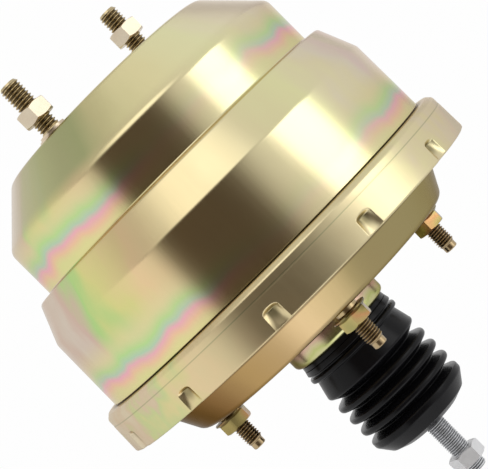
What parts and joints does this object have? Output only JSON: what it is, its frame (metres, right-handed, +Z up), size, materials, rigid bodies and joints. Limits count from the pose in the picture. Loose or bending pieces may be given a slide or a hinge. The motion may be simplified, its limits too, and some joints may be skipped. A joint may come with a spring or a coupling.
{
  "type": "brake booster",
  "caption": "Vacuum brake booster: stepped zinc-plated housing over two diaphragms, with valve body, mounting studs, rubber boot and threaded push rod.",
  "frame": {"origin": "centre of the flat rear mounting face, on the push rod's axis", "axes": "+X along the push rod towards the pedal, +Y towards one of the two front studs, +Z up"},
  "size_m": [0.2606, 0.2, 0.2],
  "materials": {
    "yellow_zinc": "yellow zinc plate with a passivated sheen",
    "dark_zinc": "dark yellow zinc plate on threads",
    "gold_zinc": "gold zinc plate",
    "pale_zinc": "bright zinc plate",
    "plain_steel": "pressed and plated",
    "spring_steel": "drawn wire",
    "turned_steel": "turned",
    "boot_rubber": "satin black",
    "seal_rubber": "matt black",
    "moulded_resin": "moulded resin",
    "bearing_plastic": "natural",
    "filter_felt": "felt"
  },
  "bodies": {
    "housing": {"front_shell": "yellow_zinc", "rear_shell": "yellow_zinc", "front_reinforcement": "plain_steel", "rear_reinforcement": "plain_steel", "front_studs": "dark_zinc", "front_stud_nuts": "pale_zinc", "rear_studs": "dark_zinc", "rear_flange_nuts": "gold_zinc", "housing_divider": "plain_steel", "divider_seal": "seal_rubber", "front_seal_retainer": "plain_steel", "front_seal": "seal_rubber", "vacuum_grommet": "seal_rubber", "hub_seal": "seal_rubber", "hub_bearing": "bearing_plastic", "hub_seal_retainer": "plain_steel", "return_spring": "spring_steel", "boot": "boot_rubber"},
    "power_piston": {"valve_body": "moulded_resin", "valve_key": "plain_steel", "primary_plate": "plain_steel", "secondary_plate": "plain_steel", "plate_lock_ring": "plain_steel", "primary_diaphragm": "seal_rubber", "secondary_diaphragm": "seal_rubber", "reaction_disc": "seal_rubber", "output_rod": "pale_zinc", "output_rod_tip": "pale_zinc", "output_rod_retainer": "plain_steel", "poppet_valve": "seal_rubber", "poppet_retainer": "plain_steel", "poppet_spring": "spring_steel", "rod_return_spring": "spring_steel", "air_silencer": "filter_felt", "air_filter": "filter_felt"},
    "plunger": {"air_valve": "turned_steel"},
    "push_rod": {"push_rod": "pale_zinc", "rod_jam_nut": "pale_zinc", "rod_spring_seat": "plain_steel"}
  },
  "joints": [
    {"name": "power_piston_slide", "type": "slide", "parent": "housing", "child": "power_piston", "axis": [-1, 0, 0], "range_m": [0, 0.033], "stiffness_N_per_m": 3000, "springref_m": -0.02, "deforming": ["return_spring", "primary_diaphragm", "secondary_diaphragm"]},
    {"name": "push_rod_stroke", "type": "slide", "parent": "housing", "child": "plunger", "axis": [-1, 0, 0], "range_m": [0, 0.0347], "deforming": ["boot", "rod_return_spring"]},
    {"name": "push_rod_swivel", "type": "hinge", "parent": "plunger", "child": "push_rod", "pos_m": [-0.008, 0, 0], "axis": [0, 1, 0], "range_deg": [-2.5, 2.5], "stiffness_Nm_per_rad": 2}
  ],
  "couplings": [
    {"joint": "push_rod_stroke", "follows": "power_piston_slide", "ratio": 1.05}
  ]
}
